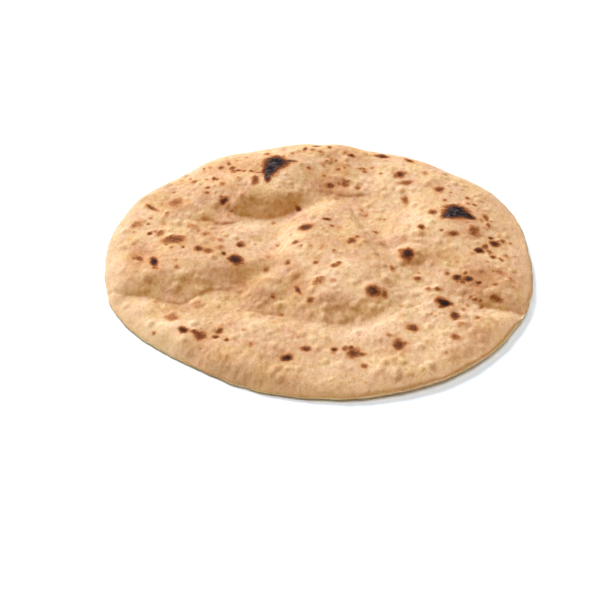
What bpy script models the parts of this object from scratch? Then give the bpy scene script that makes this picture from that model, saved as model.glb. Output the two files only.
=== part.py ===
"""One puffed chapati, lying flat, +Z up, underside on Z = 0, seen from the front along +Y.

The rim is a near circle with a few bulges. The puffed top is one smooth plate bent through the crest and foot
lines of its puffs, and it rolls down to a thin rim. The underside is flat, and it lifts a little with the rim,
most at the front right, where the rim curls up. Sizes are in mm here, and the finished bread is in metres.
"""

import bmesh
import bpy
import numpy as np

WIDTH = 200  # left to right
MM = 0.001
GRID = 61  # cells across the top

# Bulges and flats of the rim: direction in degrees from +X, spread in degrees, amount.
MEAN_RADIUS = 100
BULGES = [
    (22, 9, 3.1),
    (36, 7, 1.8),
    (56, 8, 1.4),
    (64, 4.5, 2.8),
    (68, 13, -3.2),
    (77, 5, 1.7),
    (92, 7, 2.4),
    (120, 6, 2.0),
    (134, 8, -1.0),
    (151, 4, 1.0),
    (157, 14, 1.4),
    (200, 6, 0.8),
    (234, 14, -5.4),
    (262, 10, -1.5),
    (312, 20, 3.3),
    (341, 8, 1.3),
]

# Crest, brow and foot lines of the puffs, each given by its end points and bends: x, y and height.
LINES = {
    "ridge crest": [(-62, 44, 6.6), (-40, 52, 11.6), (-20, 52, 11.8), (-13, 57, 10.4)],
    "ridge brow": [(-43, 40, 8), (-37, 38.5, 9.7), (-21, 40, 10.4), (-13, 44, 9.8)],
    "ridge foot": [(-43, 33, 5), (-32, 29.5, 4.6), (-16, 31, 4.6), (-8, 37, 5)],
    "ridge back": [(-52, 64, 7.8), (-24, 70, 10.8), (-9, 72, 10)],
    "ridge back foot": [(-45, 80, 5.6), (-22, 87, 6.6), (-4, 88, 7)],
    "ridge end brow": [(-10.5, 50, 9), (-7, 60, 9.1), (-3, 72, 9), (1, 83, 8.6)],
    "ridge end foot": [(2, 49, 5.8), (10, 59, 6.4), (12, 72, 6.8), (12, 84, 7.2)],
    "pillow crest": [(14, 87, 7.2), (13.5, 74, 7.6), (12.5, 62, 8.2)],
    "pillow foot": [(7, 50, 4.8), (14, 48.5, 4.6), (22, 53, 5), (28, 66, 5.2), (28, 82, 5)],
    "step crest": [(-68, 36, 7), (-60, 40, 8), (-57, 48, 8)],
    "step foot": [(-60, 25, 5.8), (-49, 27, 4.8), (-40, 25, 4.4)],
    "left edge": [(-65, 64, 5.2), (-78, 50, 5), (-88, 30, 4.5), (-89, 10, 4.6)],
    "left hollow": [(-75, 22, 5.6), (-60, 17, 6.4), (-40, 18, 5.6), (-28, 22, 4.6)],
    "left plateau crest": [
        (-86, -5, 6), (-70, -2, 8.4), (-56, -3, 8.8), (-44, -4, 8), (-34, -2, 6.8), (-26, 0, 5.6),
    ],
    "left plateau brow": [
        (-90, -23, 5.2), (-80, -23, 7.7), (-66, -23, 8.5), (-50, -16, 8.6), (-40, -12, 8.3),
        (-31, -9, 7.8), (-24, -8, 7),
    ],
    "left plateau foot": [
        (-94, -28, 3), (-80, -30, 3), (-66, -35, 3.2), (-56, -29.5, 4), (-48, -26, 4), (-41, -26, 4.1),
        (-33, -19, 4.2), (-24, -16, 5),
    ],
    "dome left foot": [(4, 46, 5.4), (-8, 36, 4.9), (-16, 26, 4.6), (-19, 15, 4.5), (-18, 4, 5)],
    "dome left brow": [
        (8, 38, 7.8), (-3, 28, 9.2), (-9.5, 14, 9.9), (-10.5, 2, 10.1), (-12, -10, 9.4), (-14, -17, 8.2),
    ],
    "dome crest": [(10, 18, 10.2), (13, 4, 11.2), (16, -12, 11.9), (19, -26, 12), (19, -38, 10.4)],
    "dome right brow": [(15, 24, 9.4), (22, 8, 11), (29, -8, 11.4), (33, -24, 10.8), (32, -36, 9.2)],
    "dome right foot": [(20, 30, 5.8), (27.5, 12, 7.2), (43, -12, 8.6), (46, -27, 8)],
    "dome front brow": [(-10, -35, 8), (2, -40, 9.4), (16, -42, 9.6)],
    "dome front foot": [
        (-25, -43, 4.3), (0, -52, 4.6), (15, -53.5, 4.9), (24, -49, 5.6), (31, -44, 7.2), (42, -38, 7.5),
    ],
    "lump": [(-24, -22, 7.4), (-23, -31, 7.6)],
    "lump foot": [(-33.5, -22, 4.1), (-33, -31, 4.2)],
    "lump side": [(-15, -24, 6.4), (-13, -33, 6.2)],
    "back hollow": [(14, 40, 5.2), (24, 34, 5)],
    "back right": [(30, 80, 5.5), (35, 60, 7.4), (58, 60, 7.5)],
    "back right edge": [(52, 78, 4.8), (72, 60, 5.2)],
    "right hollow": [(28, 22, 6), (42, 36, 5.8), (48, 47, 6.2)],
    "right crest": [(33, 6, 7.4), (49, 23, 9.3), (68, 30, 9.6)],
    "right plateau": [(45, -10, 8), (60, -2, 8.6), (72, 12, 9.2)],
    "right edge": [(78, 38, 7), (88, 20, 5.8), (91, 0, 5.2), (80, -2, 7)],
    "crease brow": [(52, -23, 7.8), (64, -26, 7.4), (79, -32, 6.6), (89, -36, 5)],
    "crease foot": [(64, -34, 6.2), (79, -39, 3.5), (92, -43, 2.3)],
    "front right fold": [(20, -64, 5.8), (34, -55, 6.4), (54, -39, 7.2)],
    "front right": [(75, -50, 5.6), (62, -58, 6.4), (48, -66, 6.3)],
    "front right edge": [(86, -46, 4.4), (80, -58, 4.7), (66, -73, 5.2)],
    "front left fold": [(-38, -49, 6.2), (-28, -54, 7.4), (-25, -63, 6.8)],
    "front left slope": [(-10, -54, 5.4), (-4, -59, 5.6)],
    "front left": [(-80, -40, 4.6), (-70, -46, 4.8), (-57, -51, 5.4), (-46, -60, 5.2)],
    "front left ridge": [(-68, -57, 6), (-60, -65, 6)],
    "front left hollow": [(-46, -38, 4.6), (-42, -43, 4.6), (-32, -42, 4.2)],
    "front left edge": [(-50, -68, 5), (-39, -71, 6.4)],
    "front middle": [(-6, -70, 5.8), (26, -72, 5.5)],
    "front": [(-20, -80, 6), (18, -84, 5.9), (52, -76, 5.9)],
    "front edge": [(-44, -80, 5.2), (-28, -86, 5.6), (-12, -90, 5), (0, -92, 4.6)],
    "front right rim": [(22, -92, 5), (48, -84, 5.4)],
}
LINE_STEP = 8  # farthest apart that the plate is held along a line
RIM_TOP = 2.3  # height of the top just inside the rim
RIM_MIDDLE = 0.8  # height of the outermost line of the rim
# How much the rim curls up off the table, with the underside: direction, spread, amount.
RIM_LIFTS = [(300, 26, 1.5), (350, 26, 1.4)]
CURL_WIDTH = 12  # how far in the underside is back down on the table
# How far in the top edge starts to roll over, and where it starts farther in: direction, spread, amount more.
ROLL_WIDTH = 1.8
WIDE_ROLLS = [(180, 30, 2.5), (253, 16, 6.5), (225, 12, 2.5), (130, 20, 2)]
# The underside's rings, from the outermost line to the flat: how far in, and how high before the curl.
RIM_RINGS = [(0.7, 0.6), (2.5, 0.2), (6, 0), (CURL_WIDTH, 0)]
SINGLE_PUFFS = [(44, -4, 8, 2.2)]  # x, y, radius and height


def bells(angle, start, entries):
    """A value round the rim: a start plus a bell for each direction, spread and amount."""
    degrees = np.degrees(angle)
    value = np.full_like(degrees, float(start))
    for direction, spread, amount in entries:
        off = (degrees - direction + 180) % 360 - 180
        value += amount * np.exp(-0.5 * (off / spread) ** 2)
    return value


def outline(angle):
    """Rim radius: the mean radius plus the bulges."""
    return bells(angle, MEAN_RADIUS, BULGES)


def bending(square):
    """Thin-plate weight of a squared distance: square times its logarithm."""
    return square * np.log(square + 1e-12)


def fit_plate(points):
    """Solves for the thin plate through the points: one weight a point, then a level and two tilts."""
    flat = points[:, :2] / MEAN_RADIUS
    apart = ((flat[:, None] - flat[None]) ** 2).sum(axis=2)
    stiffness = bending(apart) + 0.0004 * np.eye(len(flat))
    plane = np.column_stack([np.ones(len(flat)), flat])
    system = np.block([[stiffness, plane], [plane.T, np.zeros((3, 3))]])
    return np.linalg.solve(system, np.concatenate([points[:, 2], np.zeros(3)]))


def plate_height(x, y, points, weights):
    """Height of the plate: its level and tilts, plus each point's weight times its bending."""
    x, y = x / MEAN_RADIUS, y / MEAN_RADIUS
    height = weights[-3] + weights[-2] * x + weights[-1] * y
    for (px, py, _), weight in zip(points, weights):
        height = height + weight * bending((x - px / MEAN_RADIUS) ** 2 + (y - py / MEAN_RADIUS) ** 2)
    return height


def disc_grid(u, v):
    """Turns a square of -1 to 1 into a disc: each square ring becomes a round ring of the same half width."""
    ring = np.maximum(np.abs(u), np.abs(v))
    length = np.maximum(np.hypot(u, v), 1e-9)
    return u * ring / length, v * ring / length, ring


def top_points(u, v, points, weights):
    """Top surface: the plate with its puffs, rolled down to the rim by a quarter ellipse."""
    across, back, ring = disc_grid(u, v)
    angle = np.arctan2(back, across)
    radius = outline(angle)
    x, y = across * radius, back * radius
    height = plate_height(x, y, points, weights)
    for px, py, size, tall in SINGLE_PUFFS:
        near = np.clip(1 - ((x - px) ** 2 + (y - py) ** 2) / size**2, 0, None)
        height = height + tall * near**1.5
    inward = np.clip(radius * (1 - ring) / bells(angle, ROLL_WIDTH, WIDE_ROLLS), 0, 1)
    roll = np.sqrt(1 - (1 - inward) ** 2)
    middle = bells(angle, RIM_MIDDLE, RIM_LIFTS)
    return np.column_stack([x, y, middle + (height - middle) * roll])


def along(line):
    """Points along a line: each stretch is cut into equal steps of LINE_STEP or less."""
    points = [np.array(line[0], float)]
    for start, end in zip(np.array(line[:-1], float), np.array(line[1:], float)):
        steps = int(np.ceil(np.hypot(*(end - start)[:2]) / LINE_STEP))
        points += [start + (end - start) * step / steps for step in range(1, steps + 1)]
    return points


def relief_points():
    """All points that the plate passes through: the lines, and a ring just inside the rim."""
    angles = np.radians(np.arange(0, 360, 15))
    radius = outline(angles) - 1
    top = bells(angles, RIM_TOP, RIM_LIFTS)
    ring = np.column_stack([radius * np.cos(angles), radius * np.sin(angles), top])
    return np.vstack([along(line) for line in LINES.values()] + [ring])


def make_bread():
    """A grid bent over the top, its edge drawn down and in ring by ring, and the flat underside filled."""
    points = relief_points()
    weights = fit_plate(points)
    bm = bmesh.new()
    bmesh.ops.create_grid(bm, x_segments=GRID, y_segments=GRID, size=1)
    square = np.array([vert.co for vert in bm.verts])
    placed = top_points(square[:, 0], square[:, 1], points, weights)
    for vert, place in zip(bm.verts, placed):
        vert.co = place
    edge = [e for e in bm.edges if e.is_boundary]
    for inset, height in RIM_RINGS:
        drawn = bmesh.ops.extrude_edge_only(bm, edges=edge)["geom"]
        edge = [item for item in drawn if isinstance(item, bmesh.types.BMEdge)]
        for vert in (item for item in drawn if isinstance(item, bmesh.types.BMVert)):
            angle = np.arctan2(vert.co.y, vert.co.x)
            radius = outline(angle) - inset
            curl = bells(angle, 0, RIM_LIFTS) * (1 - inset / CURL_WIDTH) ** 2
            vert.co = (radius * np.cos(angle), radius * np.sin(angle), height + curl)
    bmesh.ops.edgeloop_fill(bm, edges=edge)
    bmesh.ops.recalc_face_normals(bm, faces=bm.faces)
    low = np.min([vert.co for vert in bm.verts], axis=0)
    high = np.max([vert.co for vert in bm.verts], axis=0)
    middle = (low + high) / 2
    scale = WIDTH / (high[0] - low[0])
    for vert in bm.verts:
        vert.co.x = (vert.co.x - middle[0]) * scale
        vert.co.y = (vert.co.y - middle[1]) * scale
        vert.co *= MM
    mesh = bpy.data.meshes.new("chapati")
    bm.to_mesh(mesh)
    bm.free()
    return mesh


def bread_material():
    """Pale baked wheat dough, matt."""
    material = bpy.data.materials.new("baked_dough")
    material.use_nodes = True
    shader = material.node_tree.nodes["Principled BSDF"]
    shader.inputs["Base Color"].default_value = (0.78, 0.51, 0.29, 1)
    shader.inputs["Roughness"].default_value = 0.8
    return material


for old in list(bpy.data.objects):
    bpy.data.objects.remove(old)
bread = bpy.data.objects.new("chapati", make_bread())
bread.data.materials.append(bread_material())
bpy.context.scene.collection.objects.link(bread)
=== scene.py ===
import math

import bpy
import numpy as np
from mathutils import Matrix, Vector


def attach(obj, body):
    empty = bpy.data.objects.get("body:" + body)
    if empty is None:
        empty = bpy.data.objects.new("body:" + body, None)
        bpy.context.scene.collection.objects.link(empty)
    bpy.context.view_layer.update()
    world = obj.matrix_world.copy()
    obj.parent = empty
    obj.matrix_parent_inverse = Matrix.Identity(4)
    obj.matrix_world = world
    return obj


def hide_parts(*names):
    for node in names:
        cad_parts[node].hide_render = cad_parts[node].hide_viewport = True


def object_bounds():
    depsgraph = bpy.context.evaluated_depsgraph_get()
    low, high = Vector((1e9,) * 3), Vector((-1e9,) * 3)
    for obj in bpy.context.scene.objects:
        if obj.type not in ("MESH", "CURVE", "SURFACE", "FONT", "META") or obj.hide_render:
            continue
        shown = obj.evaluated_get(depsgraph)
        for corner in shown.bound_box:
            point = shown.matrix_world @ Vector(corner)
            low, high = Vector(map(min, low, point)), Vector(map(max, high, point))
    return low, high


# A puffed wheat chapati on a pale table. Shapes are worked out in millimetres on a bread 200 mm wide, and are
# turned into metres by the width of the frame's own solid. +X is to the right, the front is at -Y, +Z is up.

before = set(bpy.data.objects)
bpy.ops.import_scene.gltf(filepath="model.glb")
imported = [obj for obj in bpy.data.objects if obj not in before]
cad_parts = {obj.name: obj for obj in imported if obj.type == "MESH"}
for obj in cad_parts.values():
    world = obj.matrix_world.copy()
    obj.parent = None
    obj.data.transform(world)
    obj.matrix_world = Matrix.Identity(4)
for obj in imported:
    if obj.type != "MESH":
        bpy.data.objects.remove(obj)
cad_low, cad_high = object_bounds()
BREAD_WIDTH = 200.0
MM = (cad_high[0] - cad_low[0]) / BREAD_WIDTH

TOP_CELLS = 280  # across the top, so one cell is 0.7 mm
UNDER_CELLS = TOP_CELLS // 2

# ---------------------------------------------------------------- rim outline

MEAN_RADIUS = 100
# Bulges and flats of the rim: direction in degrees from +X, spread in degrees, amount.
BULGES = [
    (22, 9, 3.1),
    (36, 7, 1.8),
    (56, 8, 1.4),
    (64, 4.5, 2.8),
    (68, 13, -3.2),
    (77, 5, 1.7),
    (92, 7, 2.4),
    (120, 6, 2.0),
    (134, 8, -1.0),
    (151, 4, 1.0),
    (157, 14, 1.4),
    (200, 6, 0.8),
    (234, 14, -5.4),
    (262, 10, -1.5),
    (312, 20, 3.3),
    (341, 8, 1.3),
]


def bells(angle, start, entries):
    """A value round the rim: a start plus a bell for each direction, spread and amount."""
    degrees = np.degrees(angle)
    value = np.full_like(degrees, float(start))
    for direction, spread, amount in entries:
        off = (degrees - direction + 180) % 360 - 180
        value = value + amount * np.exp(-0.5 * (off / spread) ** 2)
    return value


def outline(angle):
    """Rim radius in each direction."""
    return bells(angle, MEAN_RADIUS, BULGES)


# ---------------------------------------------------------------- large puffs

# Crest, brow and foot lines of the puffs, each given by its end points and bends: x, y and height.
LINES = {
    "ridge crest": [(-62, 44, 6.6), (-40, 52, 11.6), (-20, 52, 11.8), (-13, 57, 10.4)],
    "ridge brow": [(-43, 40, 8), (-37, 38.5, 9.7), (-21, 40, 10.4), (-13, 44, 9.8)],
    "ridge foot": [(-43, 33, 5), (-32, 29.5, 4.6), (-16, 31, 4.6), (-8, 37, 5)],
    "ridge back": [(-52, 64, 7.8), (-24, 70, 10.8), (-9, 72, 10)],
    "ridge back foot": [(-45, 80, 5.6), (-22, 87, 6.6), (-4, 88, 7)],
    "ridge end brow": [(-10.5, 50, 9), (-7, 60, 9.1), (-3, 72, 9), (1, 83, 8.6)],
    "ridge end foot": [(2, 49, 5.8), (10, 59, 6.4), (12, 72, 6.8), (12, 84, 7.2)],
    "pillow crest": [(14, 87, 7.2), (13, 74, 7.4), (11, 62, 7.8)],
    "pillow foot": [(6, 50, 5), (12, 48, 4.7), (19, 51, 5), (30, 66, 5.8), (28, 82, 5.2)],
    "step crest": [(-68, 36, 7), (-60, 40, 8), (-57, 48, 8)],
    "step foot": [(-60, 25, 5.8), (-49, 27, 4.8), (-40, 25, 4.4)],
    "left edge": [(-65, 64, 5.2), (-78, 50, 5), (-88, 30, 4.5), (-89, 10, 4.6)],
    "left hollow": [(-75, 22, 5.6), (-60, 17, 6.4), (-40, 18, 5.6), (-28, 22, 4.6)],
    "left plateau crest": [(-86, -5, 6), (-70, -2, 8.4), (-56, -3, 8.8), (-44, -4, 8), (-34, -2, 6.8), (-26, 0, 5.6)],
    "left plateau brow": [(-90, -23, 5.2), (-80, -23, 7.7), (-66, -23, 8.5), (-50, -16, 8.6), (-40, -12, 8.3), (-31, -9, 7.8), (-24, -8, 7)],
    "left plateau foot": [(-94, -28, 3), (-80, -30, 3), (-66, -35, 3.2), (-56, -29.5, 4), (-48, -26, 4), (-41, -26, 4.1), (-33, -19, 4.2), (-24, -16, 5)],
    "dome left foot": [(4, 46, 5.4), (-8, 36, 4.9), (-16, 26, 4.6), (-19, 15, 4.5), (-18, 4, 5)],
    "dome left brow": [(8, 38, 7.8), (-3, 28, 9.2), (-9.5, 14, 9.9), (-10.5, 2, 10.1), (-12, -10, 9.4), (-14, -17, 8.2)],
    "dome crest": [(10, 18, 10.2), (13, 4, 11.2), (16, -12, 11.9), (19, -26, 12), (19, -38, 10.4)],
    "dome right brow": [(15, 24, 9.4), (22, 8, 11), (29, -8, 11.4), (33, -24, 10.8), (32, -36, 9.2)],
    "dome right foot": [(20, 30, 5.8), (27.5, 12, 7.2), (43, -12, 8.6), (46, -27, 8)],
    "dome front brow": [(-10, -35, 8), (2, -40, 9.4), (16, -42, 9.6)],
    "dome front foot": [(-25, -43, 4.3), (0, -52, 4.6), (15, -53.5, 4.9), (24, -49, 5.6), (31, -44, 7.2), (42, -38, 7.5)],
    "lump": [(-24, -22, 7.4), (-23, -31, 7.6)],
    "lump foot": [(-33.5, -22, 4.1), (-33, -31, 4.2)],
    "lump side": [(-15, -24, 6.4), (-13, -33, 6.2)],
    "back hollow": [(14, 40, 5.2), (24, 34, 5)],
    "back right": [(30, 80, 5.5), (35, 60, 7.4), (58, 60, 7.5)],
    "back right edge": [(52, 78, 4.8), (72, 60, 5.2)],
    "right hollow": [(28, 22, 6), (42, 36, 5.8), (48, 47, 6.2)],
    "right crest": [(33, 6, 7.4), (49, 23, 9.3), (68, 30, 9.6)],
    "right plateau": [(45, -10, 8), (60, -2, 8.6), (72, 12, 9.2)],
    "right edge": [(78, 38, 7), (88, 20, 5.8), (91, 0, 5.2), (80, -2, 7)],
    "crease brow": [(52, -23, 7.8), (64, -26, 7.4), (79, -32, 6.6), (89, -36, 5)],
    "crease foot": [(64, -34, 6.2), (79, -39, 3.5), (92, -43, 2.3)],
    "front right fold": [(20, -64, 5.8), (34, -55, 6.4), (54, -39, 7.2)],
    "front right": [(75, -50, 5.6), (62, -58, 6.4), (48, -66, 6.3)],
    "front right edge": [(86, -46, 4.4), (80, -58, 4.7), (66, -73, 5.2)],
    "front left fold": [(-38, -49, 6.2), (-28, -54, 7.4), (-25, -63, 6.8)],
    "front left slope": [(-10, -54, 5.4), (-4, -59, 5.6)],
    "front left": [(-80, -40, 4.6), (-70, -46, 4.8), (-57, -51, 5.4), (-46, -60, 5.2)],
    "front left ridge": [(-68, -57, 6), (-60, -65, 6)],
    "front left hollow": [(-46, -38, 4.6), (-42, -43, 4.6), (-32, -42, 4.2)],
    "front left edge": [(-50, -68, 5), (-39, -71, 6.4)],
    "front middle": [(-6, -70, 5.8), (26, -72, 5.5)],
    "front": [(-20, -80, 6), (18, -84, 5.9), (52, -76, 5.9)],
    "front edge": [(-44, -80, 5.2), (-28, -86, 5.6), (-12, -90, 5), (0, -92, 4.6)],
    "front right rim": [(22, -92, 5), (48, -84, 5.4)],
}
LINE_STEP = 8  # farthest apart that the plate is held along a line
RIM_TOP = 2.3  # height of the top just inside the rim
RIM_MIDDLE = 0.8  # height of the outermost line of the rim
# How far in the top edge starts to roll over: on the whole, and wider in some directions, as for the bulges.
# How much the rim curls up off the table, with the underside: direction, half width in degrees, mm.
RIM_LIFTS = [(300, 26, 1.5), (350, 26, 1.4)]
CURL_WIDTH = 12
ROLL_WIDTH = 1.8
WIDE_ROLLS = [(180, 30, 2.5), (253, 16, 6.5), (225, 12, 2.5), (130, 20, 2)]


def along(line):
    """Points along a line: each stretch is cut into equal steps of LINE_STEP or less."""
    points = [np.array(line[0], float)]
    for start, end in zip(np.array(line[:-1], float), np.array(line[1:], float)):
        steps = int(np.ceil(np.hypot(*(end - start)[:2]) / LINE_STEP))
        points += [start + (end - start) * step / steps for step in range(1, steps + 1)]
    return points


def bending(square):
    """Thin-plate weight of a squared distance: square times its logarithm."""
    return square * np.log(square + 1e-12)


def fit_plate():
    """The points that the plate is held at, and its weights: one a point, then a level and two tilts."""
    angles = np.radians(np.arange(0, 360, 15))
    radius = outline(angles) - 1
    ring = np.column_stack([radius * np.cos(angles), radius * np.sin(angles), bells(angles, RIM_TOP, RIM_LIFTS)])
    points = np.vstack([along(line) for line in LINES.values()] + [ring])
    flat = points[:, :2] / MEAN_RADIUS
    apart = ((flat[:, None] - flat[None]) ** 2).sum(axis=2)
    stiffness = bending(apart) + 0.0004 * np.eye(len(flat))
    plane = np.column_stack([np.ones(len(flat)), flat])
    system = np.block([[stiffness, plane], [plane.T, np.zeros((3, 3))]])
    return flat, np.linalg.solve(system, np.concatenate([points[:, 2], np.zeros(3)]))


PLATE_POINTS, PLATE_WEIGHTS = fit_plate()


def plate_height(x, y):
    """Height of the bent plate: its level and tilts, plus each held point's weight times its bending."""
    x, y = x / MEAN_RADIUS, y / MEAN_RADIUS
    height = PLATE_WEIGHTS[-3] + PLATE_WEIGHTS[-2] * x + PLATE_WEIGHTS[-1] * y
    for (px, py), weight in zip(PLATE_POINTS, PLATE_WEIGHTS):
        height = height + weight * bending((x - px) ** 2 + (y - py) ** 2)
    return height


def rim_roll(x, y, radius):
    """0 at the rim to 1 inside it: the upper quarter of an ellipse as wide as the roll."""
    width = bells(np.arctan2(y, x), ROLL_WIDTH, WIDE_ROLLS)
    inward = np.clip((radius - np.hypot(x, y)) / width, 0, 1)
    return np.sqrt(1 - (1 - inward) ** 2)


def large_height(x, y):
    """Height of the top without its small relief: the plate, rolled down to the rim."""
    angle = np.arctan2(y, x)
    middle = bells(angle, RIM_MIDDLE, RIM_LIFTS)
    return middle + (plate_height(x, y) - middle) * rim_roll(x, y, outline(angle))


# ---------------------------------------------------------------- laying out marks

SLANT = 1 / math.tan(math.radians(38))
SHEET_LEVEL = 3.7


def laid_down(x, y, height):
    """Where marks on a level sheet land on a surface when they are carried down to it at 38 degrees.

    y moves forward by SLANT times the height above the sheet, found by halving the error again and again.
    """
    x, y = np.asarray(x, float), np.asarray(y, float)
    landed = y.copy()
    for _ in range(14):
        landed = 0.5 * landed + 0.5 * (y - SLANT * (height(x, landed) - SHEET_LEVEL))
    return landed


def noise(x, y, size, seed):
    """Smooth noise of -1 to 1: random heights on a square lattice of that spacing, joined by a smooth step."""
    cells = int(260 / size) + 4
    lattice = np.random.default_rng(seed).uniform(-1, 1, (cells, cells))
    gx, gy = (x + 130) / size, (y + 130) / size
    column = np.clip(gx.astype(int), 0, cells - 2)
    row = np.clip(gy.astype(int), 0, cells - 2)
    sx, sy = gx - column, gy - row
    sx, sy = sx * sx * (3 - 2 * sx), sy * sy * (3 - 2 * sy)
    low = lattice[row, column] * (1 - sx) + lattice[row, column + 1] * sx
    high = lattice[row + 1, column] * (1 - sx) + lattice[row + 1, column + 1] * sx
    return low * (1 - sy) + high * sy


def smooth(value, start, end):
    """0 below start and 1 above end, with a smooth step between."""
    t = np.clip((value - start) / (end - start), 0, 1)
    return t * t * (3 - 2 * t)


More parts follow.
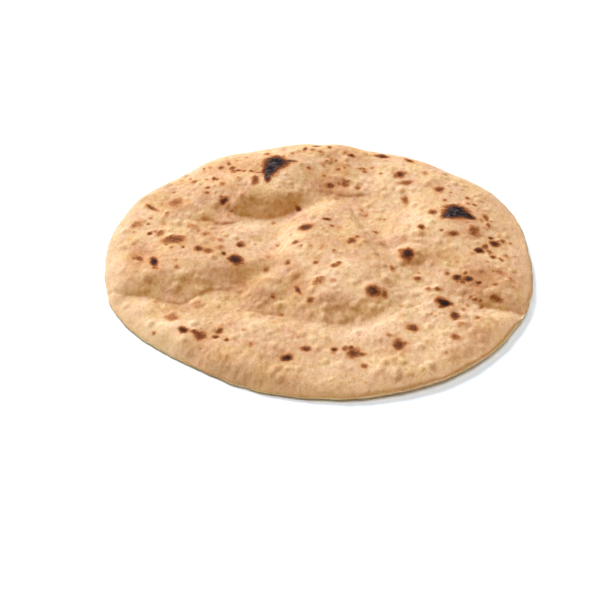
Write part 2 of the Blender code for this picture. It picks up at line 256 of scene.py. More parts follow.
# Toasted marks: x, y, half width, half length, turn in degrees, darkness from 0 to 1.
MARKS = [
    # left
    (-38.5, -2, 2.7, 3, 0, 0.9), (-35, -4.6, 1.6, 1.2, 0, 0.35), (-76, -4, 1.8, 3.6, 20, 0.98),
    (-60, -54.5, 1.9, 1.8, 0, 0.75), (-45.5, 45, 2, 3, 0, 0.75), (-56, 6.4, 1.9, 2.2, 0, 0.66),
    (-51.5, 4, 2, 2, 0, 0.55), (-36.5, 8.5, 1.8, 1.8, 0, 0.7), (-44, 2, 1, 1.5, 0, 0.75),
    (-44, -55.5, 1.4, 1.9, 0, 0.65), (-45.5, -60, 1.3, 1.2, 0, 0.75), (-40.5, -62, 1, 1, 0, 0.65),
    (-52.3, -58.5, 2.7, 2.2, 0, 0.6), (-55.5, -55.5, 1.4, 1.3, 0, 0.5), (-68, 13.5, 5.6, 3, 0, 0.56),
    (-69, 44, 3.4, 3.8, 0, 0.45), (-87, 27, 2.4, 3.8, -10, 0.36), (-60.5, 24.5, 2.4, 2.4, 0, 0.3),
    (-57, 20, 1.2, 2.5, 0, 0.34), (-53, 17.5, 2.3, 1.8, 0, 0.42), (-75, 18.5, 2, 2.6, 0, 0.46),
    (-80, 18, 1, 1, 0, 0.7), (-81, 40, 1, 4.5, 40, 0.55), (-83.5, -2, 1.5, 4.4, 30, 0.6),
    (-54, 52, 1.6, 1.5, 0, 0.5), (-65.5, -46.5, 2.9, 2.1, 0, 0.42), (-55, -36, 2, 3, 0, 0.22),
    # back
    (-30, 62.5, 1.6, 3.6, 0, 0.62), (-51, 64.5, 1, 1.5, 0, 0.7), (-48, 75, 1.8, 1.8, 0, 0.6),
    (-44, 78, 1, 1.6, 20, 0.6), (-42, 74, 1.5, 1.6, 0, 0.66), (-39, 71.5, 1.3, 1, 0, 0.65),
    (-36, 71, 1, 1, 0, 0.6), (-32, 70.5, 2, 0.7, 0, 0.5), (-29, 69.5, 2, 0.7, 0, 0.55),
    (-9, 38, 1.1, 1.8, 0, 0.7), (-25, 88, 1.4, 1.3, 0, 0.65), (-5.5, 92, 1, 2.2, -10, 0.7),
    (-12, 87.5, 1.3, 1.3, 0, 0.4), (-2, 91, 1.4, 1.6, 0, 0.55), (2, 89, 1.4, 1.5, 0, 0.45),
    (7, 93.5, 1, 1, 0, 0.6), (0, 95.5, 1.8, 1.1, 0, 0.7), (18, 86.5, 1.7, 1.5, 0, 0.7),
    (34, 86, 3.4, 1.5, 0, 0.68), (47.5, 82, 2.2, 1.2, -30, 0.7), (10, 81.5, 0.8, 1.1, 0, 0.5),
    (4, 68, 0.9, 1.1, 0, 0.5), (6.7, 59, 2.1, 2.5, 0, 0.62), (14, 60, 2, 3, 0, 0.55),
    (23.5, 74.5, 2.2, 1.5, 0, 0.42), (42, 69, 2.5, 2.8, 0, 0.6), (44.5, 62, 4, 1.9, 5, 0.45),
    (54.5, 70, 1.1, 2.2, 0, 0.3), (60.5, 55, 2.5, 2.2, 0, 0.62), (43.5, 46.5, 1.5, 3.8, 0, 0.5),
    (62.5, 46, 1, 1, 0, 0.5), (74, 48, 1.3, 1.3, 0, 0.5), (74, 43, 1, 1, 0, 0.45), (77, 42, 1.2, 1.2, 0, 0.5),
    # middle
    (-5, 23, 2.6, 2.6, 0, 0.78), (4, 29.5, 1.9, 1.3, 0, 0.7), (16, 12, 1.9, 2.1, 0, 0.56),
    (0, -19, 2.4, 3.2, -20, 0.4), (7.5, 3.7, 1, 1.3, 0, 0.5), (7.5, -7.5, 1.7, 1.5, 0, 0.52),
    (-10.5, 10.6, 1.5, 1.5, 0, 0.55), (7, 24, 1.1, 1.1, 0, 0.5), (-24, -10, 1.4, 2.2, 0, 0.4),
    (-14, -5.3, 1.3, 2.3, 0, 0.5), (-3.5, -33.5, 1.7, 2, 0, 0.6), (-9, -26, 0.9, 3, 25, 0.75),
    (25, -26.5, 3.2, 4.8, 0, 0.7), (30, -29, 1.6, 3.4, -10, 0.42),
    # right
    (42, 1.5, 2.8, 4, 0, 0.88), (56, 36, 2, 2.2, 0, 0.6), (49.5, 22.5, 1.5, 2.4, 0, 0.75),
    (64.5, 18, 2.4, 2, 0, 0.62), (74.5, 19.5, 2.2, 3.6, 0, 0.5), (82, 25, 1, 2, 0, 0.5),
    (82.5, 14.5, 1.3, 1.3, 0, 0.7), (83.7, 10, 2.6, 2.5, 0, 0.85), (76, 4.5, 2, 2, 0, 0.85),
    (64, -16, 1.8, 2.1, 0, 0.82), (69.5, -17.5, 2, 2.5, 0, 0.93), (73.7, -20.3, 1.3, 1.5, 0, 0.72),
    (57.3, -35.6, 3.5, 3.2, 0, 1), (61, -45, 1.7, 2.6, 0, 0.72), (45.7, -16.7, 1.8, 1.8, 0, 0.55),
    (34, -10, 1.1, 2.6, 15, 0.36), (50, -25, 1.4, 1.4, 0, 0.4), (54, -25, 1.4, 1.4, 0, 0.45),
    (79.5, -31, 2.2, 1.6, 0, 0.4), (84, -13, 1.7, 2.6, 35, 0.34),
    (89, -18, 1.5, 2.4, 40, 0.32), (82, -1, 1.4, 1.4, 0, 0.6), (85.3, -2.4, 0.9, 0.9, 0, 0.45),
    (81.7, 31, 1.2, 3, 10, 0.55), (71.5, -46, 1.2, 1.4, 0, 0.36),
    # front
    (-14, -74, 2.5, 2, 0, 0.86), (-5.6, -68.3, 1.8, 1.7, 0, 0.66), (6.7, -68.3, 1.5, 1.6, 0, 0.72),
    (42, -53.2, 3, 2.3, -15, 0.58), (60, -59.7, 2, 2.1, 0, 0.52), (35, -65.5, 2.5, 3.5, 0, 0.68),
    (15, -71, 2.6, 2.4, 0, 0.6), (19, -72, 1.8, 1, 0, 0.5), (14, -67.5, 1.1, 1.1, 0, 0.6),
    (-29.7, -65, 1.2, 2, 0, 0.36), (-33, -55, 1, 1, 0, 0.35), (-9, -60, 1.1, 1.1, 0, 0.3),
    (-67.5, 64, 1.2, 1.6, 0, 0.26), (-63, 65, 1, 1.4, 0, 0.4), (-46, 13, 1.4, 1.4, 0, 0.3),
    (-46, 6.5, 1.2, 1.2, 0, 0.3), (-66, -3, 1.2, 1.2, 0, 0.35), (-65.3, -8.4, 1.1, 1.8, 0, 0.45),
]

# Charred patches, made of overlapping ellipses in the same form as the marks.
CHARS = [
    (-20.5, 79, 4.1, 4.2, -20, 1.0), (-22.7, 73, 2.8, 4.6, -12, 1.0), (-24.2, 67, 1.1, 3.8, 0, 1.0),
    (-13.5, 80.3, 3.4, 0.8, -8, 0.75),
    (67, 36, 4.4, 4.4, 0, 1.0), (63.6, 32.8, 2.8, 1.7, 15, 1.0), (71.8, 33, 3.2, 1.9, -25, 1.0),
    (24.6, -26.2, 2.0, 2.8, 0, 0.52), (57.3, -35.6, 1.7, 1.5, 0, 0.78),
    (69.4, -17.5, 1.0, 1.4, 0, 0.68), (64, -16, 0.9, 1.2, 0, 0.64),
]


# Where small freckles crowd together: x, y, half width.
FRECKLED = [(-70, 25, 26), (-50, 72, 20), (75, 18, 24), (12, 78, 18), (70, -26, 20), (0, 5, 22), (10, -30, 70)]
FRECKLES = 430
FRECKLE_SEED = 5


def freckles():
    """Small faint marks, seeded round the places where they crowd, each as a near-round mark."""
    rng = np.random.default_rng(FRECKLE_SEED)
    places = np.array(FRECKLED, float)[rng.integers(0, len(FRECKLED), FRECKLES)]
    x = places[:, 0] + rng.normal(0, 0.6, FRECKLES) * places[:, 2]
    y = places[:, 1] + rng.normal(0, 0.6, FRECKLES) * places[:, 2]
    wide = rng.uniform(0.5, 1.5, FRECKLES)
    tall = wide * rng.uniform(0.8, 1.7, FRECKLES)
    dark = 0.12 + 0.45 * rng.uniform(0, 1, FRECKLES) ** 3
    marks = np.column_stack([x, y, wide, tall, rng.uniform(-40, 40, FRECKLES), dark])
    return marks[np.hypot(x, y) < 94].tolist()


# Where the dough is browner than elsewhere, or paler where the amount is below 0: x, y, spread, amount.
# A few are the dough's own browning; many are painted shade where it is darker and painted light where it is paler.
PAINTED_SHADING_AND_TONE = [
    (-15, 90, 12, 0.12), (-42, 75, 11, 0.2), (-24, 70, 8, 0.3), (6, 60, 6, 0.25), (11, 71, 5, 0.15),
    (-82, 48, 8, 0.2), (0, 40, 6, 0.12), (-80, 0, 9, 0.3), (-21, 0, 6, 0.3), (-34, -22, 8, 0.35),
    (-10, -26, 7, 0.3), (-30, -40, 6, 0.25), (74, -18, 7, 0.55), (71, 29, 6, 0.42), (-48, -84, 7, 0.45),
    (20, 14, 6, 0.18), (22, 64, 6, -0.25), (40, 60, 8, -0.34), (-20, 60, 12, -0.22), (0, 80, 5, -0.25),
    (-30, 20, 9, -0.28), (-18, 10, 8, -0.2), (60, 15, 14, -0.18), (86, 10, 10, -0.12), (10, -10, 9, -0.3),
    (14, -30, 13, -0.22), (48, -34, 16, -0.3), (40, -60, 16, -0.15), (-68, -62, 9, -0.6), (0, -54, 7, -0.25),
    (5, -74, 12, -0.12), (28, -88, 10, -0.25), (55, -80, 9, -0.2), (90, -42, 8, -0.2), (-72, -16, 7, -0.22),
    (10, 50, 5, 0.25), (0, 60, 4, 0.2), (20, 60, 5, -0.2), (31, -72, 5, 0.3), (60, -73, 5, 0.25), (55, 1, 6, 0.28),
    (68, 0, 5, 0.18), (-31, -10, 5, -0.4), (-10, 4, 5, -0.25), (-30, 60, 6, -0.2), (50, 21, 8, -0.2),
    (0, 31, 5, -0.25), (-40, 50, 5, 0.25), (40, -42, 5, 0.1), (20, -41, 5, -0.25),
    (56, -45, 8, -0.12), (60, -59, 5, -0.2), (-20, -25, 4, -0.4), (-30, -20, 4, 0.3), (-10, -26, 4, 0.2),
    (10, 80, 5, 0.2), (-74, 10, 7, -0.25), (-80, 31, 5, -0.2), (-49, 25, 7, 0.24), (-64, -40, 6, 0.25),
    (-70, 51, 5, -0.22), (-50, 51, 4, -0.25), (29, 11, 4, 0.1), (20, -1, 5, 0.18), (-20, 20, 5, 0.25),
    (64, 29, 6, 0.2), (40, 60, 6, -0.1), (-80, 2, 6, 0.25),
    (-31, 41, 5, 0.3), (18, 92, 5, 0.2), (20, 80, 5, -0.2), (60, 20, 6, -0.2), (-12, 65, 7, -0.25), (-40, 11, 5, -0.25), (-60, -20, 5, -0.3), (40, -20, 5, -0.22), (-42, 38, 4, -0.12), (-30, 30, 5, -0.3), (-60, 31, 5, -0.2), (10, -40, 5, 0.25), (-10, -50, 5, 0.25), (-10, -18, 4, 0.2), (70, -52, 6, 0.25), (-9, 31, 4, 0.3), (-52, -60, 6, 0.18), (-20, 0, 5, 0.2),
    (60, -72, 5, 0.15), (-51, 10, 6, 0.2), (-56, 50, 4, 0.2), (-30, -50, 6, -0.25), (0, -90, 7, -0.15),
]

# ---------------------------------------------------------------- small relief

# Feet of puffs. Each line runs with its puff on the left, and the dough swells up steeply from it.
# Height, how far in the swell takes to rise, how far in it fades, then the x and y that the line goes through.
FEET = [
    (1.1, 5, 9, [(-47, 47), (-43.5, 38), (-38, 33), (-26, 31), (-17, 33), (-11, 38), (-9, 44), (-8, 50)]),
    (0.9, 2.5, 6, [(-59, 31), (-52, 28.5), (-46, 25.5), (-41, 26.5), (-36, 30)]),
    (0.7, 3.0, 5, [(-99, -28), (-86, -30), (-78, -30.5), (-70, -35), (-62, -37), (-56, -31), (-50, -26.5),
                   (-44, -26), (-38, -27)]),
    (0.8, 4.0, 6, [(-4, 38), (-12, 30), (-16, 22), (-18, 12), (-17, 3), (-19, -8)]),
    (0.7, 3.0, 6, [(-35, -33), (-31, -40), (-25, -43.5), (-19, -43), (-13, -40)]),
    (0.45, 4.0, 7, [(-12, -46), (0, -50), (9, -51.5), (17, -50), (24, -46), (30, -41)]),
    (0.9, 3.0, 7, [(66, -31), (72, -36), (79, -39.5), (86, -41.5), (99, -46)]),
    (0.6, 4.0, 8, [(58, -33), (48, -36), (38, -41), (32, -46), (26, -51), (19, -54.5), (10, -57)]),
    (1.1, 3.0, 7, [(6, 57), (9, 51), (14, 49), (20, 49.5), (27, 52)]),
    (0.8, 5, 8, [(34, -12), (29, -2), (25, 8), (22, 18), (19.5, 28), (17, 38), (15, 47)]),
]

# Ridges, and creases where the height is less than 0: height, half width, then x and y along them.
FOLDS = [
    (0.25, 2.0, [(26, 9), (32, 12), (38, 13.5), (44, 13), (50, 19), (57, 29)]),
    (1.0, 3.2, [(-16, -13), (-17, -22), (-17, -34)]),
    (0.7, 1.3, [(-37, -76), (-36, -82), (-38, -89)]),
    (-0.7, 1.4, [(50, -77), (51, -83), (52, -91)]),
    (0.5, 1.0, [(-48, -49), (-46, -44), (-41, -40)]),
    (0.4, 1.0, [(-38, -51), (-40, -46), (-44, -43)]),
    (0.5, 1.2, [(46, -64), (51, -60)]),
    (0.5, 1.2, [(52, -56), (58, -58)]),
    (-0.5, 0.9, [(-84, 43), (-78, 37)]),
    (-0.5, 0.9, [(-88, 4), (-81, -5)]),
    (0.4, 0.9, [(-90, 1), (-84, -7)]),
    (-0.5, 1.2, [(-98, -28), (-88, -28.5)]),
    (0.5, 3.0, [(-22, -46), (-24, -54), (-23, -64)]),
    (0.5, 2.0, [(-74, -50), (-66, -53), (-58, -50)]),
    (-0.5, 1.6, [(-60, 25), (-57, 20), (-58, 12)]),
    (-0.4, 1.0, [(-41, 21), (-40, 15)]),
    (0.4, 1.2, [(30, -76), (24, -83), (21, -92)]),
    (0.4, 1.2, [(36, -72), (33, -79)]),
    (0.4, 1.1, [(27, -66), (24, -73)]),
    (-0.4, 1.2, [(64, -66), (68, -72), (66, -78)]),
    (0.4, 1.2, [(70, -64), (73, -70)]),
    (-0.4, 1.0, [(-57, -70), (-53, -77)]),
    (0.4, 1.0, [(-60, -68), (-56, -76)]),
]


def to_line(x, y, line):
    """Distance to a line through the given points, above 0 on its left, and a weight that fades to 0 at its ends."""
    lengths = np.hypot(*np.diff(line, axis=0).T)
    before = np.concatenate([[0], np.cumsum(lengths)])
    nearest = np.full_like(x, 1e9)
    signed = np.full_like(x, 1e9)
    reached = np.zeros_like(x)
    for start, end, length, run in zip(line[:-1], line[1:], lengths, before):
        ax, ay = (end - start) / length
        ahead = np.clip((x - start[0]) * ax + (y - start[1]) * ay, 0, length)
        dx, dy = x - start[0] - ahead * ax, y - start[1] - ahead * ay
        far = np.hypot(dx, dy)
        closer = far < nearest
        nearest = np.where(closer, far, nearest)
        signed = np.where(closer, np.where(ax * dy - ay * dx > 0, far, -far), signed)
        reached = np.where(closer, run + ahead, reached)
    taper = min(7, before[-1] / 2)
    weight = smooth(reached, 0, taper) * smooth(before[-1] - reached, 0, taper)
    return signed, weight


def swell(signed, rise, fade):
    """Rises from 0 at the line as a quarter ellipse, then fades as a bell; nothing on the far side."""
    inside = np.clip(signed, 0, None)
    up = np.sqrt(1 - (1 - np.clip(inside / rise, 0, 1)) ** 2)
    return up * np.exp(-0.5 * (inside / fade) ** 2)


# Small round puffs: x, y on the sheet, radius, height.
PUFFS = [
    (43, 1, 9, 2.6), (79, -29.5, 4, 1.0), (4, -30, 3.6, 0.6), (10, -47, 3.2, 0.7), (33, -86, 2.8, 0.7),
    (36, -77, 2.4, 0.6), (-62, -15, 3.4, 0.8), (-11, -15, 3.4, 0.8), (-27, -25, 6.5, 1.1), (-55, -36, 4, 0.8),
    (-68, 13.5, 6, 0.5), (-60, 25, 4, 0.5), (0, -19, 3.8, 0.7), (25, -26, 6, 0.8), (-87, 27, 4, 0.5),
    (-57, 35, 6, 0.8), (-87, 48, 4, 0.7), (-78, -15, 4, 0.6), (-44, -31, 4, 0.6), (-22, -18, 3, 0.5),
    (50, -26, 3, 0.6), (55, -25, 2.6, 0.5), (44, -28, 3, 0.5), (35, -14, 3.4, 0.6), (46, -17, 3, 0.5),
    (12, -9, 8, 0.8), (64, 8, 3, 0.6), (74, -45, 4, 0.6), (-72, 22, 3, 0.4), (52, -31, 8, 0.7),
    (-8, -38, 2.2, 0.5), (16, -38, 2.4, 0.5), (20, -33, 2, 0.45), (2, -41, 2, 0.45), (8, -38, 1.9, 0.4),
    (14, -45, 2.6, 0.5), (24, -40, 2, 0.45), (-16, -36, 2.2, 0.5), (31, -36, 2, 0.4), (37, -30, 2.2, 0.4),
    (-4, -44, 2.4, 0.5), (-1, -12, 2.2, 0.4), (16, -20, 2, 0.4), (-8, 2, 2, 0.35), (66, -26, 2.6, 0.5),
]

# The rolling pin drew the dough out front to back: small features are this much shorter in y before it.
ROLLED = 0.65
BLISTERS = 2800
BLISTER_SEED = 7


def blisters(x, y):
    """Sum of small seeded domes: each rises as the square of one less its squared distance over its radius."""
    rng = np.random.default_rng(BLISTER_SEED)
    angle = rng.uniform(0, 2 * np.pi, BLISTERS)
    reach = 96 * np.sqrt(rng.uniform(0, 1, BLISTERS))
    radius = 0.8 + 2.2 * rng.uniform(0, 1, BLISTERS) ** 1.6
    tall = radius * (0.03 + 0.32 * rng.uniform(0, 1, BLISTERS) ** 3)
    height = np.zeros_like(x)
    for cx, cy, size, rise in zip(reach * np.cos(angle), reach * np.sin(angle), radius, tall):
        near = (np.abs(x - cx) < size) & (np.abs(y - cy) < 1.25 * size)
        square = ((x[near] - cx) ** 2 + (0.8 * (y[near] - cy)) ** 2) / size**2
        height[near] = np.maximum(height[near], rise * np.clip(1 - square, 0, None) ** 2)
    return height


def wrinkles(x, y, size, seed):
    """Narrow raised wrinkles: one less the absolute value of smooth noise, squared, so it peaks where noise is 0."""
    return (1 - np.abs(noise(x, y, size, seed))) ** 2


def laid_points(points):
    """The same points with their y carried down to the large puffs."""
    points = np.array(points, float)
    points[:, 1] = laid_down(points[:, 0], points[:, 1], large_height)
    return points


LAID_FEET = [(tall, rise, fade, laid_points(line)) for tall, rise, fade, line in FEET]
LAID_FOLDS = [(tall, wide, laid_points(line)) for tall, wide, line in FOLDS]
LAID_PUFFS = laid_points(PUFFS)
LAID_PAINTED_SHADING_AND_TONE = laid_points(PAINTED_SHADING_AND_TONE)


def painted_shading_and_tone(x, y):
    """Browner or paler dough, partly its own tone and partly painted shade and light: a bell each, added up."""
    return sum(amount * np.exp(-0.5 * ((x - px) ** 2 + (y - py) ** 2) / size**2) for px, py, size, amount in LAID_PAINTED_SHADING_AND_TONE)


def placed_relief(x, y):
    """The relief placed one by one: swells above the feet of puffs, ridges and creases as bells across their lines,
    and small puffs as domes."""
    height = np.zeros_like(x)
    for tall, rise, fade, line in LAID_FEET:
        signed, weight = to_line(x, y, line)
        height = height + tall * weight * swell(signed, rise, fade)
    for tall, wide, line in LAID_FOLDS:
        signed, weight = to_line(x, y, line)
        height = height + tall * weight * np.exp(-0.5 * (signed / wide) ** 2)
    for px, py, size, tall in LAID_PUFFS:
        near = np.clip(1 - ((x - px) ** 2 + (y - py) ** 2) / size**2, 0, None)
        height = height + tall * near**1.15
    return height


def seeded_relief(x, y):
    """Seeded blisters, and wrinkles of several sizes, the smaller ones drawn out front to back by the rolling pin."""
    height = blisters(x, y)
    height = height + 0.40 * noise(x, y, 12, 1) + 0.21 * noise(x, ROLLED * y, 6, 2)
    height = height + 0.12 * wrinkles(x, ROLLED * y, 9, 5) + 0.04 * wrinkles(x, ROLLED * y, 4.5, 6)
    height = height + 0.06 * noise(x, ROLLED * y, 2.8, 3) + 0.03 * noise(x, ROLLED * y, 1.5, 4)
    return height - 0.15


def marked_height(x, y):
    """The height that marks are laid on: everything but the seeded relief."""
    return large_height(x, y) + placed_relief(x, y)


def spotted(x, y, marks, wobble):
    """Darkness of the marks at each point: 1 in a mark's middle, falling smoothly over its wavering edge.

    A point's distance is measured in the turned ellipse of the mark, where 1 is its edge, plus the wobble. On a
    slope that faces the front a mark is shorter than on the sheet, and on one that faces the back it is longer.
    """
    total = np.zeros_like(x)
    halo = np.zeros_like(x)
    table = np.array(marks, float)
    landed = laid_down(table[:, 0], table[:, 1], marked_height)
    rise = (marked_height(table[:, 0], landed + 1) - marked_height(table[:, 0], landed - 1)) / 2
    shorter = 1 / np.clip(1 + SLANT * rise, 0.6, 1.5)
    for (mx, _, wide, tall, turn, dark), my, squeeze in zip(table, landed, shorter):
        reach = 2.4 * (wide + tall)
        near = (np.abs(x - mx) < reach) & (np.abs(y - my) < reach)
        dx, dy = x[near] - mx, (y[near] - my) / squeeze
        cosine, sine = math.cos(math.radians(turn)), math.sin(math.radians(turn))
        across = (dx * cosine + dy * sine) / wide
        length = (dy * cosine - dx * sine) / tall
        far = np.hypot(across, length) * (1 + wobble[near])
        total[near] = np.maximum(total[near], dark * (1 - smooth(far, 0.15, 1.85)))
        halo[near] = np.maximum(halo[near], dark * (1 - smooth(far, 0.8, 2.3)))
    return total, halo


# ---------------------------------------------------------------- the bread's mesh


def disc_grid(cells):
    """A square grid of -1 to 1 turned into a disc, as x and y.

    Near the middle it stays square, and towards the rim each square ring is drawn into a round one.
    """
    steps = np.linspace(-1, 1, cells + 1)
    u, v = np.meshgrid(steps, steps)
    ring = np.maximum(np.abs(u), np.abs(v))
    round_off = ring / np.maximum(np.hypot(u, v), 1e-9)
    blend = 1 + (round_off - 1) * smooth(ring, 0, 1)
    return (u * blend).ravel(), (v * blend).ravel()


def grid_quads(cells, start, flip):
    """Corner numbers of each cell of a grid, counted from start; flip turns the faces over."""
    row = np.arange(cells)[:, None] * (cells + 1)
    corner = (row + np.arange(cells)[None]).ravel() + start
    order = [0, cells + 1, cells + 2, 1] if flip else [0, 1, cells + 2, cells + 1]
    return np.stack([corner + step for step in order], axis=1)


def grid_edge(cells, start):
    """Corner numbers round the edge of a grid, anticlockwise from its low corner."""
    side = cells + 1
    steps = np.arange(cells)
    bottom, right = steps, cells + steps * side
    top, left = cells * side + cells - steps, (cells - steps) * side
    return np.concatenate([bottom, right, top, left]) + start


def top_points():
    """Top of the bread, with its marks: the large puffs and the small relief, rolled down to the rim."""
    across, back = disc_grid(TOP_CELLS)
    radius = outline(np.arctan2(back, across))
    radius = radius + 0.35 * noise(across * 100, back * 100, 7, 11) + 0.15 * noise(across * 100, back * 100, 2.5, 12)
    x, y = across * radius, back * radius
    small = seeded_relief(x, y) + placed_relief(x, y)
    roll = rim_roll(x, y, radius)
    middle = bells(np.arctan2(y, x), RIM_MIDDLE, RIM_LIFTS)
    z = middle + (plate_height(x, y) + small - middle) * roll
    z = z + 0.12 * noise(x, y, 4, 13) * (1 - roll)
    wobble = 0.24 * noise(x, y, 3.5, 21) + 0.18 * noise(x, y, 1.6, 22)
    toast, halo = spotted(x, y, MARKS + freckles(), wobble)
    ash, ash_halo = spotted(x, y, CHARS, 0.6 * wobble)
    toast = np.maximum(toast, ash_halo * 0.75)
    halo = np.maximum(halo, ash_halo)
    # A paler band round the rim, widest on the left.
    band = bells(np.arctan2(y, x), 5, [(180, 40, 4)]) * (1 + 0.15 * noise(x, y, 9, 14))
    rim = 1 - smooth(radius - np.hypot(x, y), 0.5 * band, 1.2 * band)
    # The browned attribute holds painted shade and painted light as well as the dough's own browning.
    marks = {"toast": toast, "halo": halo, "ash": ash, "rim": rim, "browned": painted_shading_and_tone(x, y)}
    return np.column_stack([x, y, z]), marks


def under_points():
    """Underside: flat on the table, with shallow hollows, and lifted in a small curve at the rim that dies away
    inward.

    Where the rim curls up, the underside goes with it and comes down to the table within a finger's width.
    """
    across, back = disc_grid(UNDER_CELLS)
    radius = outline(np.arctan2(back, across)) - 0.5
    x, y = across * radius, back * radius
    inward = radius - np.hypot(x, y)
    hollow = np.clip(0.25 + 0.25 * noise(x, y, 9, 31) + 0.15 * noise(x, y, 3, 32), 0, None)
    curl = bells(np.arctan2(y, x), 0, RIM_LIFTS) * np.clip(1 - inward / CURL_WIDTH, 0, 1) ** 2
    z = 0.45 * np.exp(-inward / 1.3) + hollow * 0.6 + curl
    scorch = smooth(noise(x, y, 6, 33), 0.45, 0.9) * 0.7
    none = np.zeros_like(x)
    marks = {"toast": scorch, "halo": scorch, "ash": none, "rim": np.exp(-inward / 3), "browned": none}
    return np.column_stack([x, y, z]), marks


def stitch(outer, inner):
    """Triangles between two edge loops where the outer one has twice the points of the inner one."""
    first, middle = outer[0::2], outer[1::2]
    last = np.roll(first, -1)
    near, far = inner, np.roll(inner, -1)
    return np.concatenate(
        [np.stack([first, near, middle], 1), np.stack([middle, near, far], 1), np.stack([middle, far, last], 1)]
    )


def make_bread():
    """Top and underside grids, stitched together just under the outermost line of the rim."""
    top, top_marks = top_points()
    under, under_marks = under_points()
    points = np.vstack([top, under])
    middle = (top.min(axis=0) + top.max(axis=0)) / 2
    scale = BREAD_WIDTH / (top[:, 0].max() - top[:, 0].min())
    points[:, :2] = (points[:, :2] - middle[:2]) * scale
    faces = grid_quads(TOP_CELLS, 0, False).tolist()
    faces += grid_quads(UNDER_CELLS, len(top), True).tolist()
    faces += stitch(grid_edge(TOP_CELLS, 0), grid_edge(UNDER_CELLS, len(top))).tolist()
    mesh = bpy.data.meshes.new("chapati_baked")
    mesh.from_pydata((points * MM).tolist(), [], faces)
    for name in top_marks:
        layer = mesh.attributes.new(name, "FLOAT", "POINT")
        layer.data.foreach_set("value", np.concatenate([top_marks[name], under_marks[name]]).astype(np.float32))
    mesh.polygons.foreach_set("use_smooth", [True] * len(mesh.polygons))
    mesh.update()
    piece = bpy.data.objects.new("chapati_baked", mesh)
    bpy.context.scene.collection.objects.link(piece)
    return piece


# ---------------------------------------------------------------- materials


def colour(hex_code):
    """An sRGB hex value as linear red, green, blue and full alpha."""
    parts = [int(hex_code[i : i + 2], 16) / 255 for i in (0, 2, 4)]
    return [c / 12.92 if c <= 0.04045 else ((c + 0.055) / 1.055) ** 2.4 for c in parts] + [1.0]


def node(tree, kind, settings=None, inputs=None, output=0, stops=()):
    """Adds a node and gives one of its outputs.

    Settings are its own properties. Inputs go by name or number, each a socket to join, a hex colour or a value.
    Stops are a ramp's positions and hex colours.
    """
    made = tree.nodes.new("ShaderNode" + kind)
    for name, value in (settings or {}).items():
        setattr(made, name, value)
    for name, value in (inputs or {}).items():
        if isinstance(value, bpy.types.NodeSocket):
            tree.links.new(value, made.inputs[name])
        else:
            made.inputs[name].default_value = colour(value) if isinstance(value, str) else value
    for number, (place, code) in enumerate(stops):
        if number == len(made.color_ramp.elements):
            made.color_ramp.elements.new(1.0)
        made.color_ramp.elements[number].position = place
        made.color_ramp.elements[number].color = colour(code)
    return made.outputs[output]


# From flour-pale to well browned, for the yellower and the pinker parts.
YELLOW_DOUGH = [(0.18, "F8DCA8"), (0.34, "EACE9C"), (0.5, "DDBB84"), (0.66, "CBA06A"), (0.82, "B78650")]
PINK_DOUGH = [(0.18, "F8DAB2"), (0.34, "EACBA3"), (0.5, "DCB58D"), (0.66, "CC9E76"), (0.82, "B9845A")]


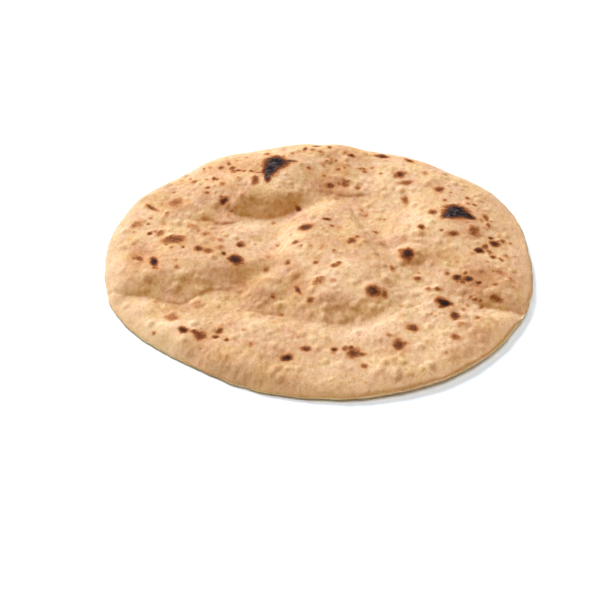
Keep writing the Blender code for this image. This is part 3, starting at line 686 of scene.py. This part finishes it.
def baked_dough():
    """Wholewheat dough baked dry on a griddle: matt, floury, cream to tan, with toasted and charred spots."""
    material = bpy.data.materials.new("griddle_baked_wheat_dough")
    material.use_nodes = True
    tree = material.node_tree
    shader = tree.nodes["Principled BSDF"]
    place = node(tree, "TexCoord", output="Object")
    rolled = node(tree, "Mapping", None, {"Vector": place, "Scale": (1, ROLLED, 1)})
    toast = node(tree, "Attribute", {"attribute_name": "toast"}, output="Fac")
    halo = node(tree, "Attribute", {"attribute_name": "halo"}, output="Fac")
    ash = node(tree, "Attribute", {"attribute_name": "ash"}, output="Fac")
    rim = node(tree, "Attribute", {"attribute_name": "rim"}, output="Fac")
    # The browned attribute is painted shade and painted light as well as browning.
    shading_and_tone_patch = node(tree, "Attribute", {"attribute_name": "browned"}, output="Fac")
    multiply_add = {"operation": "MULTIPLY_ADD"}
    blend = {"data_type": "RGBA"}

    # Cream where the dough stayed floury and tan where the griddle touched it, some of it pinker and some yellower.
    fine = node(tree, "TexNoise", None, {"Vector": rolled, "Scale": 1 / (2.2 * MM), "Detail": 3, "Roughness": 0.65})
    broad = node(tree, "TexNoise", None, {"Vector": place, "Scale": 1 / (17 * MM), "Detail": 3})
    tone = node(tree, "Mix", {"data_type": "FLOAT"}, {0: 0.6, 2: broad, 3: fine})
    # Painted shade and painted light from the patches darken or lighten the dough, along with its own browning.
    tone = node(tree, "Math", multiply_add, {0: shading_and_tone_patch, 1: 0.55, 2: tone})
    yellow = node(tree, "ValToRGB", None, {0: tone}, stops=YELLOW_DOUGH)
    pink = node(tree, "ValToRGB", None, {0: tone}, stops=PINK_DOUGH)
    patches = node(tree, "TexNoise", None, {"Vector": place, "Scale": 1 / (11 * MM), "Detail": 3})
    hue = node(tree, "MapRange", None, {0: patches, 1: 0.36, 2: 0.64})
    dough = node(tree, "Mix", blend, {0: hue, 6: yellow, 7: pink}, 2)
    # A paler band round the rim, widest on the left.
    paler_rim = node(tree, "Math", {"operation": "MULTIPLY"}, {0: rim, 1: 0.4})
    dough = node(tree, "Mix", blend, {0: paler_rim, 6: dough, 7: "E6CBA0"}, 2)
    # Bran specks a little browner than the dough.
    bran = node(tree, "TexNoise", None, {"Vector": rolled, "Scale": 1 / (1.1 * MM), "Detail": 2})
    specks = node(tree, "MapRange", None, {0: bran, 1: 0.58, 2: 0.74, 4: 0.4})
    dough = node(tree, "Mix", blend, {0: specks, 6: dough, 7: "BE8C5A"}, 2)
    # Marks: each is light brown at its edge, and darker brown to nearly black inside, broken by the grain.
    ragged = node(tree, "TexNoise", None, {"Vector": place, "Scale": 1 / (1.3 * MM), "Detail": 3, "Roughness": 0.6})
    ragged = node(tree, "MapRange", None, {0: ragged, 1: 0.25, 2: 0.75, 3: -0.16, 4: 0.16})
    inside = node(tree, "MapRange", None, {0: toast, 1: 0.0, 2: 0.25})
    darkness = node(tree, "Math", multiply_add, {0: ragged, 1: inside, 2: toast})
    browned = node(
        tree,
        "ValToRGB",
        None,
        {0: darkness},
        stops=[(0, "D8A874"), (0.2, "C68F5A"), (0.38, "A66C3E"), (0.56, "7C4A28"), (0.76, "4E2B1A"), (0.96, "2C1812")],
    )
    scorched = node(tree, "MapRange", None, {0: halo, 1: 0.0, 2: 0.6, 4: 0.5})
    dough = node(tree, "Mix", blend, {0: scorched, 6: dough, 7: "D69C64"}, 2)
    toasted = node(tree, "MapRange", None, {0: darkness, 1: 0.03, 2: 0.30})
    dough = node(tree, "Mix", blend, {0: toasted, 6: dough, 7: browned}, 2)
    # Char: nearly black, with a blue-grey bloom of ash.
    bloom = node(tree, "TexNoise", None, {"Vector": place, "Scale": 1 / (2.4 * MM), "Detail": 3, "Roughness": 0.6})
    soot = node(tree, "ValToRGB", None, {0: bloom}, stops=[(0.33, "17110F"), (0.49, "2A2322"), (0.64, "5C5354")])
    edge = node(tree, "Math", multiply_add, {0: ragged, 1: 0.8, 2: ash})
    charred = node(tree, "MapRange", None, {0: edge, 1: 0.40, 2: 0.75})
    dough = node(tree, "Mix", blend, {0: charred, 6: dough, 7: soot}, 2)
    tree.links.new(dough, shader.inputs["Base Color"])
    # Pebbly skin of tiny bubbles, and dry flour grain on it, finer than the mesh.
    bubbles = node(
        tree, "TexVoronoi", {"feature": "SMOOTH_F1"}, {"Vector": rolled, "Scale": 1 / (2.0 * MM), "Smoothness": 0.6}
    )
    grain = node(tree, "TexNoise", None, {"Vector": rolled, "Scale": 1 / (1.0 * MM), "Detail": 3, "Roughness": 0.6})
    skin = node(tree, "Math", multiply_add, {0: bubbles, 1: -0.8, 2: grain})
    pebbled = node(tree, "Bump", None, {"Height": skin, "Strength": 0.40, "Distance": 0.5 * MM})
    tree.links.new(pebbled, shader.inputs["Normal"])
    shader.inputs["Roughness"].default_value = 0.8
    shader.inputs["IOR"].default_value = 1.45
    shader.inputs["Specular IOR Level"].default_value = 0.06
    shader.inputs["Subsurface Weight"].default_value = 0.3
    shader.inputs["Subsurface Radius"].default_value = (1.0, 0.55, 0.28)
    shader.inputs["Subsurface Scale"].default_value = 2.5 * MM
    return material


def table_paint():
    """Smooth white melamine: a plain pale ground."""
    material = bpy.data.materials.new("white_melamine")
    material.use_nodes = True
    shader = material.node_tree.nodes["Principled BSDF"]
    shader.inputs["Base Color"].default_value = colour("F6F9FC")
    shader.inputs["Roughness"].default_value = 0.6
    return material


# ---------------------------------------------------------------- setting


def make_table():
    """A square table top 8 m across, level with the bread's underside."""
    half = 4.0
    mesh = bpy.data.meshes.new("table")
    mesh.from_pydata([(-half, -half, 0), (half, -half, 0), (half, half, 0), (-half, half, 0)], [], [(0, 1, 2, 3)])
    top = bpy.data.objects.new("table", mesh)
    top.location = (0, 0, cad_low[2] - 0.0002)
    mesh.materials.append(table_paint())
    bpy.context.scene.collection.objects.link(top)
    return top


def soft_light(name, towards, distance, size, power, tint, lit=None):
    """A square lamp of that size, standing off in the given direction and aimed at the bread.

    Where lit names an object, the lamp is flagged off everything else, as a studio lamp is with black card.
    """
    data = bpy.data.lights.new(name, "AREA")
    data.size = size
    data.energy = power
    data.color = colour(tint)[:3]
    lamp = bpy.data.objects.new(name, data)
    direction = np.array(towards) / np.linalg.norm(towards)
    lamp.location = direction * distance
    lamp.rotation_euler = (-lamp.location).to_track_quat("-Z", "Y").to_euler()
    lamp.visible_camera = False
    bpy.context.scene.collection.objects.link(lamp)
    if lit:
        lamp.light_linking.receiver_collection = bpy.data.collections.new(name + " reaches")
        lamp.light_linking.receiver_collection.objects.link(lit)
    return lamp


def light_room():
    """Even light from all round: a pale wall up to about 12 degrees, which fades into a dim ceiling.

    Past the edge of the table, the room itself looks like a plain white wall.
    """
    world = bpy.data.worlds.new("room")
    world.use_nodes = True
    tree = world.node_tree
    up = node(tree, "SeparateXYZ", None, {0: node(tree, "TexCoord", output="Generated")}, "Z")
    glow = node(tree, "MapRange", None, {0: up, 1: 0.12, 2: 0.40, 3: 0.70, 4: 0.05})
    background = tree.nodes["Background"]
    background.inputs["Color"].default_value = colour("FFF0B4")
    tree.links.new(glow, background.inputs["Strength"])
    wall = node(tree, "Background", None, {"Color": "FFFFFF"})
    looked_at = node(tree, "LightPath", output="Is Camera Ray")
    room = node(tree, "MixShader", None, {0: looked_at, 1: background.outputs["Background"], 2: wall})
    tree.links.new(room, tree.nodes["World Output"].inputs["Surface"])
    bpy.context.scene.world = world


def light_scene(bread, table):
    """One large soft lamp behind on the left, a weak warm one over the bread, a white one for the table, and the room."""
    soft_light("key", (-0.52, 0.80, 0.68), 4.4, 2.2, 362, "E1EAFF")
    soft_light("warm fill", (0.1, -0.25, 1.0), 4.4, 3.2, 64, "FFB030", bread)
    soft_light("table fill", (0.1, -0.25, 1.0), 4.4, 3.2, 150, "F6FAFF", table)
    light_room()


def make_camera():
    """A 100 mm lens, 38 degrees up and straight in front, with the bread a little above the middle."""
    data = bpy.data.cameras.new("camera")
    data.lens = 100
    data.sensor_width = 36
    camera = bpy.data.objects.new("camera", data)
    target = np.array((-8.37, -29.62, 0)) * MM
    up = math.radians(38)
    back = np.array((0, -math.cos(up), math.sin(up)))
    camera.location = target + back * 760.8 * MM
    camera.rotation_euler = (math.pi / 2 - up, 0, 0)
    bpy.context.scene.collection.objects.link(camera)
    bpy.context.scene.camera = camera


bread = make_bread()
bread.data.materials.append(baked_dough())
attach(bread, "root")
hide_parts("chapati")
table = make_table()
light_scene(bread, table)
make_camera()
bpy.context.scene.view_settings.view_transform = "Standard"
